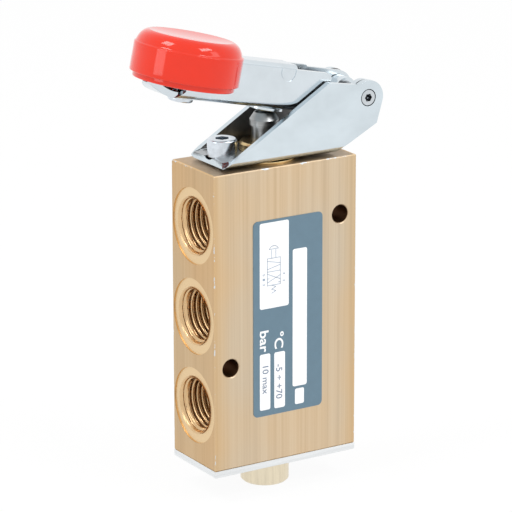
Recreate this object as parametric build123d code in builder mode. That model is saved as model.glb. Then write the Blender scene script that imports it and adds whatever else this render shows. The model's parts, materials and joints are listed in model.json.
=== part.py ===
from build123d import *
import os
from math import cos, radians, sin, sqrt

# Hand lever air valve: a five-port spool valve with spring return, pushed by a lever on a folded bracket.
# Millimetres. X runs from the three-port face to the pivot end, Y is across the body, Z is up the spool.
# The origin is the centre of the pattern of the two mounting holes, on the spool's axis.

# ---------------------------------------------------------------- driving dimensions
# Valve body
body_depth = 38.8
body_width = 19.0
body_length = 71.2
edge_break = 0.2
cut_margin = 1.0
port_pitch = 21.8
bore_radius = 7.0

# G1/4 ports
thread_radius = 6.58
thread_depth = 10.0
mouth_chamfer = 0.35
spotface_radius = 9.1
spotface_depth = 0.3
passage_radius = 4.2

# Mounting holes through the body
mounting_edge = 4.4
mounting_radius = 2.15
mounting_chamfer = 0.25

# End plate, its screws and the spring cap
plate_thickness = 1.67
plate_screw_end_edge = 4.4
plate_screw_side_edge = 3.3
plate_screw_radius = 1.45
plate_screw_head_radius = 2.8
plate_screw_depth = 5.8
plate_screw_socket = 1.0
plate_screw_socket_depth = 1.1
plate_hole_clearance = 0.15
tap_run_out = 0.5
cap_radius = 5.775
cap_drop = 6.5
cap_floor = 1.2
cap_flange_radius = 6.9
cap_flange_height = 1.6
chamber_radius = 4.75
end_spacer_radius = 6.9

# Spool and its seals
spool_radius = 4.0
spool_waist_radius = 2.6
waist_length = 3.9
seal_clearance = 0.03
seal_outer_clearance = 0.02
cage_radius = 6.9
cage_inner_radius = 4.8
cage_window_radius = 1.9
cage_end_gap = 0.05
travel = 3.2

# Return spring and its seat
seat_radius = 4.3
seat_thickness = 1.2
seat_spigot_radius = 2.5
seat_spigot_length = 1.5
spring_radius = 3.7
spring_wire = 0.9
spring_turns = 5.5
spool_tail = 1.3

# Guide bush, plunger and their seals
bush_radius = 5.9
bush_height = 4.1
bush_chamfer = 0.5
bush_flange_radius = 9.0
bush_flange = 0.5
bush_fit_clearance = 0.05
bush_counterbore = 4.15
bush_counterbore_depth = 3.4
bush_seal_section = 0.58
bush_seal_rise = 1.0
stem_radius = 3.0
stem_clearance = 0.05
stem_seal_section = 0.72
stem_seal_rise = 1.0
groove_clearance = 0.1
plunger_head_radius = 3.43
plunger_head_height = 3.4
crown_radius = 8.0
crown_cap_radius = 2.3
crown_cone_height = 1.7
contact_clearance = 0.05
spool_stop_gap = 0.3

# Bracket, a folded steel channel
sheet = 1.5
bracket_width = 17.0
bracket_bend = 2.3
bracket_front_x = -15.0
bracket_rear_x = 15.0
bracket_corner = (12.5, 17.1)
bracket_dip = (20.8, 15.65)
bracket_heel = (25.7, 6.0)
bracket_toe = (16.5, 1.3)
lobe_radius = 4.1
heel_angle = -15.0
bracket_hole_clearance = 0.1

# Bracket screws, M4 socket heads
screw_x = 11.4
screw_radius = 2.0
screw_head_radius = 3.5
screw_head_height = 4.0
screw_head_round = 0.5
screw_socket = 3.0
screw_socket_depth = 2.2
screw_length = 8.0
screw_clearance = 0.05

# Pivot
pivot_x = 23.3
pivot_height = 12.3
pin_radius = 2.0
pin_clearance = 0.05
pin_socket = 1.7
pin_socket_depth = 1.4
pin_tail = 1.1
ring_radius = 3.4
ring_thickness = 0.6
ring_inset = 0.35
ring_clearance = 0.02
ring_mouth = 3.2
washer_radius = 3.3
washer_side_clearance = 0.1
hub_radius = 3.05
hub_length = 3.3

# Lever, a channel open at the top
lever_tilt = 12.2
lever_width = 12.0
lever_top = 4.36
lever_bottom = 5.3
lever_bend = 2.3
lever_lobe = 3.95
lever_step_u = 9.8
lever_step_run = 0.4
lever_tail_u = 3.0
lever_end_u = 50.3
lever_end_slant = 2.0
lever_end_drop = 3.3
notch_floor = 0.2
notch_margin = 0.2
shoulder_round = 1.2
tongue_radius = 9.0
tongue_start_u = 49.3
tongue_angle = 44.0
tongue_width = 8.8
punch_u = 21.9
punch_radius = 2.08
punch_depth = 2.9
punch_line = 0.28
punch_cut = 0.12

# Knob carrier, an inverted channel inside the lever
carrier_start_u = 18.0
carrier_end_u = 50.4
carrier_top = 5.1
carrier_sheet = 1.2
carrier_bend = 1.6
carrier_gap = 0.1
carrier_floor_gap = 0.03
carrier_foot = 0.85

# Contact pad under the lever
pad_radius = 4.25
pad_height = 0.95
pad_stem_radius = 1.5
pad_rivet_radius = 2.4
pad_rivet_height = 0.8
pad_rivet_taper = 20

# Knob, its insert and its screw
knob_u = 45.5
knob_radius = 12.62
knob_base = 1.05
knob_band = 7.5
lip_radius = 11.75
lip_drop = 1.3
rim_radius = 10.5
rim_height = 2.3
shoulder_out = 0.75
shoulder_rise = 1.05
shoulder_bulge = 0.28
knob_dish = 0.35
knob_wall = 2.1
knob_ceiling_rise = 1.45
knob_slot_clearance = 0.5
knob_slot_reach = 6.6
knob_boss_radius = 4.1
insert_radius = 3.0
insert_height = 2.6
knob_screw_radius = 2.0
knob_screw_head_radius = 3.0
knob_screw_head = 1.15
knob_screw_head_round = 0.7
knob_screw_gap = 0.2
knob_screw_clearance = 0.05

# Name plate
plate_label_width = 18.96
plate_label_height = 47.52
plate_label_x = 0.5
plate_label_z = -0.46
plate_label_round = 1.2
plate_label_thickness = 0.12

# ---------------------------------------------------------------- derived places
mid_z = -port_pitch / 4
body_top = mid_z + body_length / 2
body_bottom = mid_z - body_length / 2
three_ports_z = [mid_z + k * port_pitch for k in (1, 0, -1)]
two_ports_z = [mid_z + k * port_pitch / 2 for k in (1, -1)]
mounting_span = body_depth - 2 * mounting_edge
mounting_rise = 1.5 * port_pitch
plate_screw_x = body_depth / 2 - plate_screw_end_edge
plate_screw_y = body_width / 2 - plate_screw_side_edge
seal_pitch = port_pitch / 2
seals_z = [mid_z + (2.5 - k) * seal_pitch for k in range(6)]
seal_inner_radius = spool_radius + seal_clearance
seal_outer_radius = bore_radius - seal_outer_clearance
seal_section = (seal_outer_radius - seal_inner_radius) / 2
seal_mean_radius = seal_inner_radius + seal_section
stack_top = seals_z[0] + seal_section + cage_end_gap
stack_bottom = seals_z[-1] - seal_section - cage_end_gap
plate_bottom = body_bottom - plate_thickness
cap_bottom = plate_bottom - cap_drop
cap_floor_z = cap_bottom + cap_floor
cap_flange_top = body_bottom + cap_flange_height
plate_hole_radius = plate_screw_radius + plate_hole_clearance

bush_top = body_top + bush_height
bush_counterbore_top = stack_top + bush_counterbore_depth
spool_top = bush_counterbore_top - spool_stop_gap
spool_bottom = stack_bottom - spool_tail
seat_bottom = spool_bottom - seat_thickness

bracket_z = body_top + bush_flange
pivot_z = bracket_z + pivot_height
tilt = radians(lever_tilt)
pad_face = lever_bottom + pad_height
pad_u = (pivot_x - pad_face * sin(tilt)) / cos(tilt)
# The plunger's crown is a ball of crown_radius that all but touches the tilted pad.
crown_centre_z = pivot_z + (pivot_x * sin(tilt) - pad_face - crown_radius - contact_clearance) / cos(tilt)
plunger_top = crown_centre_z + crown_radius
crown_edge_z = crown_centre_z + sqrt(crown_radius**2 - crown_cap_radius**2)
head_bottom = plunger_top - plunger_head_height

# Lever coordinates: u runs from the pivot to the knob, v is square to it and up.
lever_side = Plane(origin=(pivot_x, 0, pivot_z), x_dir=(-cos(tilt), 0, sin(tilt)), z_dir=(0, 1, 0))
inner_bottom = lever_bottom - sheet
lever_inner_width = lever_width - 2 * sheet
knob_hole_radius = knob_screw_radius + knob_screw_clearance


def lever_section(u):
    """The plane square to the lever at u, with Y across it and v up."""
    origin = (pivot_x - u * cos(tilt), 0, pivot_z + u * sin(tilt))
    return Plane(origin=origin, x_dir=(0, -1, 0), z_dir=(-cos(tilt), 0, sin(tilt)))


def lever_normal(u, v):
    """The plane facing up out of the lever, at u and v."""
    origin = (pivot_x - u * cos(tilt) + v * sin(tilt), 0, pivot_z + u * sin(tilt) + v * cos(tilt))
    return Plane(origin=origin, x_dir=(-cos(tilt), 0, sin(tilt)), z_dir=(sin(tilt), 0, cos(tilt)))


def ring(radius, inner_radius, plane, height):
    """A plain ring standing on a plane, added to the part in hand."""
    with BuildSketch(plane) as outline:
        Circle(radius)
        Circle(inner_radius, mode=Mode.SUBTRACT)
    extrude(outline.sketch, amount=height)


def drill(radius, plane, depth):
    """A round hole sunk below a plane in the part in hand."""
    with BuildSketch(plane) as outline:
        Circle(radius)
    extrude(outline.sketch, amount=-depth, mode=Mode.SUBTRACT)


def o_ring(mean_radius, section, z):
    """A ring of round section about the spool's axis, added to the part in hand."""
    with BuildSketch(Plane.XZ) as outline:
        with Locations((mean_radius, z)):
            Circle(section)
    revolve(outline.sketch, axis=Axis.Z)


os.makedirs("parts", exist_ok=True)

# ---------------------------------------------------------------- valve body
with BuildPart() as valve_body:
    with BuildSketch(Plane.XY.offset(body_bottom)):
        Rectangle(body_depth, body_width)
    extrude(amount=body_length)
    chamfer(valve_body.edges(), length=edge_break)
    drill(bore_radius, Plane.XY.offset(body_top), body_length)
    three_port_planes = [Plane(origin=(-body_depth / 2, 0, z), z_dir=(-1, 0, 0)) for z in three_ports_z]
    two_port_planes = [Plane(origin=(body_depth / 2, 0, z), z_dir=(1, 0, 0)) for z in two_ports_z]
    with Locations(*three_port_planes, *two_port_planes):
        CounterBoreHole(thread_radius, spotface_radius, spotface_depth, thread_depth)
        Hole(passage_radius, body_depth / 2)
    mouths = valve_body.edges().filter_by(GeomType.CIRCLE)
    mouths = mouths.filter_by(lambda e: abs(e.radius - thread_radius) < 0.01)
    mouths = mouths.filter_by(lambda e: abs(abs(e.center().X) - body_depth / 2 + spotface_depth) < 0.01)
    chamfer(mouths, length=mouth_chamfer)
    mounting_planes = [
        Plane(origin=(side * mounting_span / 2, -body_width / 2, side * mounting_rise / 2), z_dir=(0, -1, 0))
        for side in (1, -1)
    ]
    with Locations(*mounting_planes):
        Hole(mounting_radius, body_width)
    rims = valve_body.edges().filter_by(GeomType.CIRCLE)
    rims = rims.filter_by(lambda e: abs(e.radius - mounting_radius) < 0.01)
    chamfer(rims, length=mounting_chamfer)
    with BuildSketch(Plane.XY.offset(body_top)):
        with GridLocations(2 * screw_x, 0, 2, 1):
            Circle(screw_radius)
    extrude(amount=-(screw_length - sheet - bush_flange + tap_run_out), mode=Mode.SUBTRACT)
    with BuildSketch(Plane.XY.offset(body_bottom)):
        with GridLocations(2 * plate_screw_x, 2 * plate_screw_y, 2, 2):
            Circle(plate_screw_radius + screw_clearance)
    extrude(amount=plate_screw_depth + tap_run_out, mode=Mode.SUBTRACT)
valve_body.part.label = "valve_body"
export_step(valve_body.part, "parts/valve_body.step")

# ---------------------------------------------------------------- end plate, its screws, spring cap, spacer
with BuildPart() as end_plate:
    with BuildSketch(Plane.XY.offset(plate_bottom)):
        Rectangle(body_depth, body_width)
    extrude(amount=plate_thickness)
    chamfer(end_plate.edges().group_by(Axis.Z)[0], length=edge_break)
    drill(cap_radius + bush_fit_clearance, Plane.XY.offset(body_bottom), plate_thickness)
    with Locations(Plane(origin=(0, 0, plate_bottom), z_dir=(0, 0, -1))):
        with GridLocations(2 * plate_screw_x, 2 * plate_screw_y, 2, 2):
            CounterSinkHole(plate_hole_radius, plate_screw_head_radius + screw_clearance)
end_plate.part.label = "end_plate"
export_step(end_plate.part, "parts/end_plate.step")

with BuildPart() as end_plate_screws:
    with BuildSketch(Plane.XY.offset(plate_bottom)):
        with GridLocations(2 * plate_screw_x, 2 * plate_screw_y, 2, 2):
            Circle(plate_screw_head_radius)
    extrude(amount=plate_screw_head_radius - plate_screw_radius, taper=45)
    with BuildSketch(Plane.XY.offset(plate_bottom)):
        with GridLocations(2 * plate_screw_x, 2 * plate_screw_y, 2, 2):
            Circle(plate_screw_radius)
    extrude(amount=plate_thickness + plate_screw_depth)
    with BuildSketch(Plane.XY.offset(plate_bottom)):
        with GridLocations(2 * plate_screw_x, 2 * plate_screw_y, 2, 2):
            RegularPolygon(plate_screw_socket, 6, major_radius=False)
    extrude(amount=plate_screw_socket_depth, mode=Mode.SUBTRACT)
end_plate_screws.part.label = "end_plate_screws"
export_step(end_plate_screws.part, "parts/end_plate_screws.step")

with BuildPart() as spring_cap:
    ring(cap_radius, chamber_radius, Plane.XY.offset(cap_bottom), cap_flange_top - cap_bottom)
    ring(cap_flange_radius, chamber_radius, Plane.XY.offset(body_bottom), cap_flange_height)
    with BuildSketch(Plane.XY.offset(cap_bottom)):
        Circle(cap_radius)
    extrude(amount=cap_floor)
    foot = spring_cap.edges().group_by(Axis.Z)[0].sort_by(SortBy.RADIUS)[-1]
    chamfer(foot, length=bush_chamfer)
spring_cap.part.label = "spring_cap"
export_step(spring_cap.part, "parts/spring_cap.step")

with BuildPart() as end_spacer:
    ring(end_spacer_radius, chamber_radius, Plane.XY.offset(cap_flange_top), stack_bottom - cap_flange_top)
end_spacer.part.label = "end_spacer"
export_step(end_spacer.part, "parts/end_spacer.step")

# ---------------------------------------------------------------- spool, its seals and cages
with BuildPart() as spool:
    with BuildSketch(Plane.XY.offset(spool_bottom)):
        Circle(spool_radius)
    extrude(amount=spool_top - spool_bottom)
    # Waists 1 and 3 are open at rest, and the other two open when the spool has travelled down.
    for seal_z, shift in zip(seals_z[1:5], (0, travel, 0, travel)):
        with BuildSketch(Plane.XY.offset(seal_z + shift - waist_length / 2)):
            Circle(spool_radius + cut_margin)
            Circle(spool_waist_radius, mode=Mode.SUBTRACT)
        extrude(amount=waist_length, mode=Mode.SUBTRACT)
    chamfer(spool.edges().group_by(Axis.Z)[-1], length=edge_break)
    chamfer(spool.edges().group_by(Axis.Z)[0], length=edge_break)
spool.part.label = "spool"
export_step(spool.part, "parts/spool.step")

with BuildPart() as spool_seals:
    for seal_z in seals_z:
        o_ring(seal_mean_radius, seal_section, seal_z)
spool_seals.part.label = "spool_seals"
export_step(spool_seals.part, "parts/spool_seals.step")

with BuildPart() as spool_cages:
    cage_height = seal_pitch - 2 * seal_section - 2 * cage_end_gap
    for seal_z in seals_z[:-1]:
        cage_z = seal_z - seal_pitch / 2
        ring(cage_radius, cage_inner_radius, Plane.XY.offset(cage_z - cage_height / 2), cage_height)
        for side_plane in (Plane.XZ, Plane.YZ):
            with BuildSketch(side_plane):
                with Locations((0, cage_z)):
                    Circle(cage_window_radius)
            extrude(amount=cage_radius + cut_margin, both=True, mode=Mode.SUBTRACT)
spool_cages.part.label = "spool_cages"
export_step(spool_cages.part, "parts/spool_cages.step")

# ---------------------------------------------------------------- return spring and its seat
with BuildPart() as spring_seat:
    with BuildSketch(Plane.XY.offset(seat_bottom)):
        Circle(seat_radius)
    extrude(amount=seat_thickness)
    with BuildSketch(Plane.XY.offset(seat_bottom)):
        Circle(seat_spigot_radius)
    extrude(amount=-seat_spigot_length)
    chamfer(spring_seat.edges().group_by(Axis.Z)[0], length=edge_break)
spring_seat.part.label = "spring_seat"
export_step(spring_seat.part, "parts/spring_seat.step")

spring_length = seat_bottom - cap_floor_z
spring_pitch = (spring_length - spring_wire) / spring_turns
with BuildPart() as return_spring:
    with BuildLine():
        coil_start = (0, 0, cap_floor_z + spring_wire / 2)
        coil = Helix(spring_pitch, spring_length - spring_wire, spring_radius, coil_start)
    with BuildSketch(Plane(origin=coil @ 0, z_dir=coil % 0)):
        Circle(spring_wire / 2)
    sweep(path=coil, is_frenet=True)
return_spring.part.label = "return_spring"
export_step(return_spring.part, "parts/return_spring.step")

# ---------------------------------------------------------------- guide bush, plunger and their seals
bush_seal_z = stack_top + bush_counterbore_depth / 2 + bush_seal_rise
bush_seal_mean = bore_radius - seal_outer_clearance - bush_seal_section
stem_seal_z = (bush_counterbore_top + bush_top) / 2 + stem_seal_rise
stem_seal_mean = stem_radius + seal_clearance + stem_seal_section
bush_groove = 2 * bush_seal_section + groove_clearance
stem_groove = 2 * stem_seal_section + groove_clearance
with BuildPart() as guide_bush:
    with BuildSketch(Plane.XY.offset(stack_top)):
        Circle(bore_radius - bush_fit_clearance)
    extrude(amount=body_top - stack_top)
    with BuildSketch(Plane.XY.offset(body_top)):
        Circle(bush_flange_radius)
    extrude(amount=bush_flange)
    with BuildSketch(Plane.XY.offset(body_top)):
        Circle(bush_radius)
    extrude(amount=bush_height)
    chamfer(guide_bush.edges().group_by(Axis.Z)[-1], length=bush_chamfer)
    drill(stem_radius + stem_clearance, Plane.XY.offset(bush_top), bush_top - stack_top)
    drill(bush_counterbore, Plane.XY.offset(bush_counterbore_top), bush_counterbore_depth)
    with BuildSketch(Plane.XZ):
        with Locations((bush_seal_mean, bush_seal_z)):
            Rectangle(bush_groove, bush_groove)
        with Locations((bore_radius, bush_seal_z)):
            Rectangle(2 * bush_seal_section, bush_groove)
        with Locations((stem_seal_mean, stem_seal_z)):
            Rectangle(stem_groove, stem_groove)
        with Locations((stem_radius, stem_seal_z)):
            Rectangle(2 * stem_seal_section, stem_groove)
    revolve(axis=Axis.Z, mode=Mode.SUBTRACT)
guide_bush.part.label = "guide_bush"
export_step(guide_bush.part, "parts/guide_bush.step")

with BuildPart() as bush_seal:
    o_ring(bush_seal_mean, bush_seal_section, bush_seal_z)
bush_seal.part.label = "bush_seal"
export_step(bush_seal.part, "parts/bush_seal.step")

with BuildPart() as stem_seal:
    o_ring(stem_seal_mean, stem_seal_section, stem_seal_z)
stem_seal.part.label = "stem_seal"
export_step(stem_seal.part, "parts/stem_seal.step")

with BuildPart() as plunger:
    with BuildSketch(Plane.XZ):
        with BuildLine():
            crown_rise = sqrt(crown_radius**2 - crown_cap_radius**2 / 4)
            crown_middle = (crown_cap_radius / 2, crown_centre_z + crown_rise)
            ThreePointArc((0, plunger_top), crown_middle, (crown_cap_radius, crown_edge_z))
            Polyline(
                (crown_cap_radius, crown_edge_z),
                (plunger_head_radius, crown_edge_z - crown_cone_height),
                (plunger_head_radius, head_bottom),
                (stem_radius, head_bottom),
                (stem_radius, spool_top),
                (0, spool_top),
                (0, plunger_top),
            )
        make_face()
    revolve(axis=Axis.Z)
plunger.part.label = "plunger"
export_step(plunger.part, "parts/plunger.step")

# ---------------------------------------------------------------- bracket and its screws
side_plane = Plane(origin=(0, 0, bracket_z), x_dir=(1, 0, 0), z_dir=(0, -1, 0))
pivot_side = Plane(origin=(pivot_x, 0, pivot_z), x_dir=(1, 0, 0), z_dir=(0, -1, 0))
with BuildPart() as bracket:
    end_plane = Plane(origin=(bracket_front_x, 0, bracket_z), x_dir=(0, 1, 0), z_dir=(1, 0, 0))
    bracket_reach = pivot_x + lobe_radius - bracket_front_x
    bracket_rise = bracket_corner[1] + cut_margin
    with BuildSketch(end_plane) as channel:
        Rectangle(bracket_width, bracket_rise, align=(Align.CENTER, Align.MIN))
        fillet(channel.vertices().group_by(Axis.Y)[0], bracket_bend)
        with BuildSketch(mode=Mode.SUBTRACT) as inside:
            with Locations((0, sheet)):
                Rectangle(bracket_width - 2 * sheet, bracket_rise, align=(Align.CENTER, Align.MIN))
            fillet(inside.vertices().group_by(Axis.Y)[0], bracket_bend - sheet)
    extrude(amount=bracket_reach + cut_margin)
    with BuildSketch(side_plane):
        heel = (
            pivot_x + lobe_radius * cos(radians(heel_angle)),
            pivot_height + lobe_radius * sin(radians(heel_angle)),
        )
        with BuildLine():
            Polyline(
                (bracket_front_x, 0),
                bracket_corner,
                bracket_dip,
                (pivot_x, pivot_height),
                heel,
                bracket_heel,
                bracket_toe,
                (bracket_rear_x, 0),
                close=True,
            )
        make_face()
        with Locations((pivot_x, pivot_height)):
            Circle(lobe_radius)
    extrude(amount=bracket_width, both=True, mode=Mode.INTERSECT)
    drill(bush_radius + bracket_hole_clearance, Plane.XY.offset(bracket_z + sheet), sheet)
    with BuildSketch(Plane.XY.offset(bracket_z)):
        with GridLocations(2 * screw_x, 0, 2, 1):
            Circle(screw_radius + 2 * screw_clearance)
    extrude(amount=sheet, mode=Mode.SUBTRACT)
    with BuildSketch(pivot_side):
        Circle(pin_radius + pin_clearance)
    extrude(amount=bracket_width, both=True, mode=Mode.SUBTRACT)
bracket.part.label = "bracket"
export_step(bracket.part, "parts/bracket.step")

with BuildPart() as bracket_screws:
    for side in (-1, 1):
        seat = Plane(origin=(side * screw_x, 0, bracket_z + sheet))
        with BuildSketch(seat):
            Circle(screw_head_radius)
        extrude(amount=screw_head_height)
        with BuildSketch(seat):
            Circle(screw_radius - screw_clearance)
        extrude(amount=-screw_length)
        with BuildSketch(seat.offset(screw_head_height)):
            RegularPolygon(screw_socket / 2, 6, major_radius=False)
        extrude(amount=-screw_socket_depth, mode=Mode.SUBTRACT)
    head_rims = bracket_screws.edges().group_by(Axis.Z)[-1].filter_by(GeomType.CIRCLE)
    fillet(head_rims, screw_head_round)
bracket_screws.part.label = "bracket_screws"
export_step(bracket_screws.part, "parts/bracket_screws.step")

# ---------------------------------------------------------------- pivot
with BuildPart() as pivot_pin:
    near_end = pivot_side.offset(bracket_width / 2)
    with BuildSketch(near_end):
        Circle(pin_radius)
    extrude(amount=-(bracket_width + pin_tail))
    chamfer(pivot_pin.edges(), length=edge_break)
    with BuildSketch(near_end):
        RegularPolygon(pin_socket / 2, 6, major_radius=False)
    extrude(amount=-pin_socket_depth, mode=Mode.SUBTRACT)
    with BuildSketch(near_end.offset(-bracket_width)):
        Circle(pin_radius + cut_margin)
        Circle(pin_radius - ring_inset, mode=Mode.SUBTRACT)
    extrude(amount=-ring_thickness, mode=Mode.SUBTRACT)
pivot_pin.part.label = "pivot_pin"
export_step(pivot_pin.part, "parts/pivot_pin.step")

with BuildPart() as pin_ring:
    with BuildSketch(pivot_side.offset(-bracket_width / 2)):
        Circle(ring_radius)
        Circle(pin_radius - ring_inset + ring_clearance, mode=Mode.SUBTRACT)
        with Locations((0, -ring_radius)):
            Rectangle(ring_mouth, 2 * ring_radius, mode=Mode.SUBTRACT)
    extrude(amount=-ring_thickness)
pin_ring.part.label = "pin_retaining_ring"
export_step(pin_ring.part, "parts/pin_retaining_ring.step")

with BuildPart() as pivot_washers:
    inner_y = bracket_width / 2 - sheet
    washer_thickness = inner_y - lever_width / 2 - washer_side_clearance
    for side in (1, -1):
        face = pivot_side.offset(side * inner_y)
        ring(washer_radius, pin_radius + pin_clearance, face, -side * washer_thickness)
pivot_washers.part.label = "pivot_washers"
export_step(pivot_washers.part, "parts/pivot_washers.step")

with BuildPart() as pivot_hub:
    far_face = pivot_side.offset(-lever_inner_width / 2)
    ring(hub_radius, pin_radius + pin_clearance, far_face, hub_length)
    hub_rim = pivot_hub.faces().sort_by(Axis.Y)[0].edges().sort_by(SortBy.RADIUS)[-1]
    chamfer(hub_rim, length=edge_break)
pivot_hub.part.label = "pivot_hub"
export_step(pivot_hub.part, "parts/pivot_hub.step")

# ---------------------------------------------------------------- lever
with BuildPart() as lever_arm:
    lever_reach = lever_end_u + lever_lobe + cut_margin
    with BuildSketch(lever_section(-lever_lobe - cut_margin)) as lever_channel:
        with Locations((0, -lever_bottom)):
            Rectangle(lever_width, lever_top + lever_bottom, align=(Align.CENTER, Align.MIN))
        fillet(lever_channel.vertices().group_by(Axis.Y)[0], lever_bend)
        with BuildSketch(mode=Mode.SUBTRACT) as lever_inside:
            with Locations((0, -inner_bottom)):
                Rectangle(lever_inner_width, lever_top + lever_bottom, align=(Align.CENTER, Align.MIN))
            fillet(lever_inside.vertices().group_by(Axis.Y)[0], lever_bend - sheet)
    extrude(amount=lever_reach)
    with BuildSketch(lever_side):
        with BuildLine():
            Polyline(
                (0, lever_lobe),
                (lever_step_u - lever_step_run, lever_lobe),
                (lever_step_u, lever_top),
                (lever_end_u - lever_end_slant, lever_top),
                (lever_end_u - lever_end_slant, -lever_end_drop),
                (lever_end_u, -lever_bottom),
                (lever_tail_u, -lever_bottom),
                (0, -lever_lobe),
                close=True,
            )
        make_face()
        Circle(lever_lobe)
    extrude(amount=lever_width, both=True, mode=Mode.INTERSECT)
    # The near cheek is relieved between its shoulder and the pivot lobe.
    with BuildSketch(lever_side.offset(-lever_inner_width / 2 + notch_margin)):
        with Locations((0, notch_floor)):
            Rectangle(lever_step_u, lever_top + cut_margin, align=(Align.MIN, Align.MIN))
        Circle(lever_lobe, mode=Mode.SUBTRACT)
    extrude(amount=-lever_width, mode=Mode.SUBTRACT)
    corner = lever_side.offset(-lever_width / 2).from_local_coords((lever_step_u, lever_top, 0))
    shoulder = lever_arm.edges().filter_by(Axis.Y).sort_by_distance(corner)[0]
    fillet(shoulder, shoulder_round)
    # The tongue carries on from the web and curls up under the knob.
    tongue_centre = (tongue_start_u, tongue_radius - lever_bottom)
    with BuildSketch(lever_side):
        with BuildLine():
            outer_arc = CenterArc(tongue_centre, tongue_radius, -90, tongue_angle)
            inner_arc = CenterArc(tongue_centre, tongue_radius - sheet, -90, tongue_angle)
            Line(outer_arc @ 1, inner_arc @ 1)
            Line(inner_arc @ 0, outer_arc @ 0)
        make_face()
    extrude(amount=tongue_width / 2, both=True)
    # Pivot bore, rivet hole and knob screw hole.
    with BuildSketch(lever_side):
        Circle(pin_radius + pin_clearance)
    extrude(amount=lever_width, both=True, mode=Mode.SUBTRACT)
    drill(pad_stem_radius, lever_normal(pad_u, 0), lever_bottom + cut_margin)
    drill(knob_hole_radius, lever_normal(knob_u, 0), lever_bottom + cut_margin)
    # Half-round punch mark on the near cheek.
    with BuildSketch(lever_side.offset(-lever_width / 2)):
        with Locations((punch_u, lever_top - punch_depth + punch_radius)):
            Circle(punch_radius)
            Circle(punch_radius - punch_line, mode=Mode.SUBTRACT)
            Rectangle(3 * punch_radius, 2 * punch_radius, align=(Align.CENTER, Align.MIN), mode=Mode.SUBTRACT)
        punch_sides = [(punch_u + side * (punch_radius - punch_line / 2), lever_top) for side in (-1, 1)]
        with Locations(*punch_sides):
            Rectangle(punch_line, punch_depth - punch_radius, align=(Align.CENTER, Align.MAX))
    extrude(amount=punch_cut, mode=Mode.SUBTRACT)
lever_arm.part.label = "lever_arm"
export_step(lever_arm.part, "parts/lever_arm.step")

with BuildPart() as knob_carrier:
    carrier_width = lever_inner_width - 2 * carrier_gap
    carrier_drop = carrier_top + inner_bottom - carrier_floor_gap
    with BuildSketch(lever_section(carrier_start_u)) as carrier_outline:
        with Locations((0, carrier_top)):
            Rectangle(carrier_width, carrier_drop, align=(Align.CENTER, Align.MAX))
        fillet(carrier_outline.vertices().group_by(Axis.Y)[-1], carrier_bend)
        chamfer(carrier_outline.vertices().group_by(Axis.Y)[0], carrier_foot)
        with BuildSketch(mode=Mode.SUBTRACT) as carrier_inside:
            with Locations((0, carrier_top - carrier_sheet)):
                Rectangle(carrier_width - 2 * carrier_sheet, carrier_drop, align=(Align.CENTER, Align.MAX))
            fillet(carrier_inside.vertices().group_by(Axis.Y)[-1], carrier_bend - carrier_sheet)
    extrude(amount=carrier_end_u - carrier_start_u)
    drill(knob_hole_radius, lever_normal(knob_u, carrier_top), carrier_sheet + cut_margin)
knob_carrier.part.label = "knob_carrier"
export_step(knob_carrier.part, "parts/knob_carrier.step")

with BuildPart() as contact_pad:
    with BuildSketch(lever_normal(pad_u, -pad_face)):
        Circle(pad_radius)
    extrude(amount=pad_height)
    chamfer(contact_pad.edges().filter_by(GeomType.CIRCLE), length=edge_break)
    with BuildSketch(lever_normal(pad_u, -pad_face)):
        Circle(pad_stem_radius)
    extrude(amount=pad_height + sheet)
    with BuildSketch(lever_normal(pad_u, -inner_bottom)):
        Circle(pad_rivet_radius)
    extrude(amount=pad_rivet_height, taper=pad_rivet_taper)
contact_pad.part.label = "contact_pad"
export_step(contact_pad.part, "parts/contact_pad.step")

# ---------------------------------------------------------------- knob
knob_plane = lever_normal(knob_u, -knob_base)
ceiling = carrier_top + knob_base + knob_ceiling_rise
knob_section = Plane(origin=knob_plane.origin, x_dir=knob_plane.x_dir, z_dir=(0, 1, 0))
knob_axis = Axis(knob_plane.origin, knob_plane.z_dir)
with BuildPart() as knob:
    with BuildSketch(knob_section):
        with BuildLine():
            cavity = knob_radius - knob_wall
            rim_edge = (rim_radius, knob_band + rim_height)
            Polyline(
                (0, ceiling),
                (cavity, ceiling),
                (cavity, -lip_drop),
                (lip_radius, -lip_drop),
                (lip_radius, 0),
                (knob_radius, 0),
                (knob_radius, knob_band),
            )
            shoulder = (knob_radius - shoulder_out, knob_band + shoulder_rise)
            Line((knob_radius, knob_band), shoulder)
            shoulder_middle = (
                (shoulder[0] + rim_edge[0]) / 2 + shoulder_bulge,
                (shoulder[1] + rim_edge[1]) / 2 + shoulder_bulge,
            )
            ThreePointArc(shoulder, shoulder_middle, rim_edge)
            dish_middle = (0, knob_band + rim_height - knob_dish)
            TangentArc(dish_middle, rim_edge, tangent=(1, 0))
            Line(dish_middle, (0, ceiling))
        make_face()
    revolve(axis=knob_axis)
    with BuildSketch(lever_normal(knob_u, carrier_top)):
        Circle(knob_boss_radius)
    extrude(amount=insert_height)
    # Pocket for the insert, and the way in for the lever on the pivot side.
    drill(insert_radius, lever_normal(knob_u, carrier_top + insert_height), insert_height)
    slot_top = carrier_top + knob_slot_clearance
    slot_width = lever_width + 2 * knob_slot_clearance
    slot_height = slot_top + knob_base + lip_drop + cut_margin
    with BuildSketch(lever_section(knob_u - knob_radius - cut_margin)):
        with Locations((0, slot_top)):
            Rectangle(slot_width, slot_height, align=(Align.CENTER, Align.MAX))
    extrude(amount=knob_slot_reach, mode=Mode.SUBTRACT)
knob.part.label = "knob"
export_step(knob.part, "parts/knob.step")

with BuildPart() as knob_insert:
    with BuildSketch(lever_normal(knob_u, carrier_top)):
        Circle(insert_radius)
        Circle(knob_hole_radius, mode=Mode.SUBTRACT)
    extrude(amount=insert_height)
knob_insert.part.label = "knob_insert"
export_step(knob_insert.part, "parts/knob_insert.step")

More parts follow.
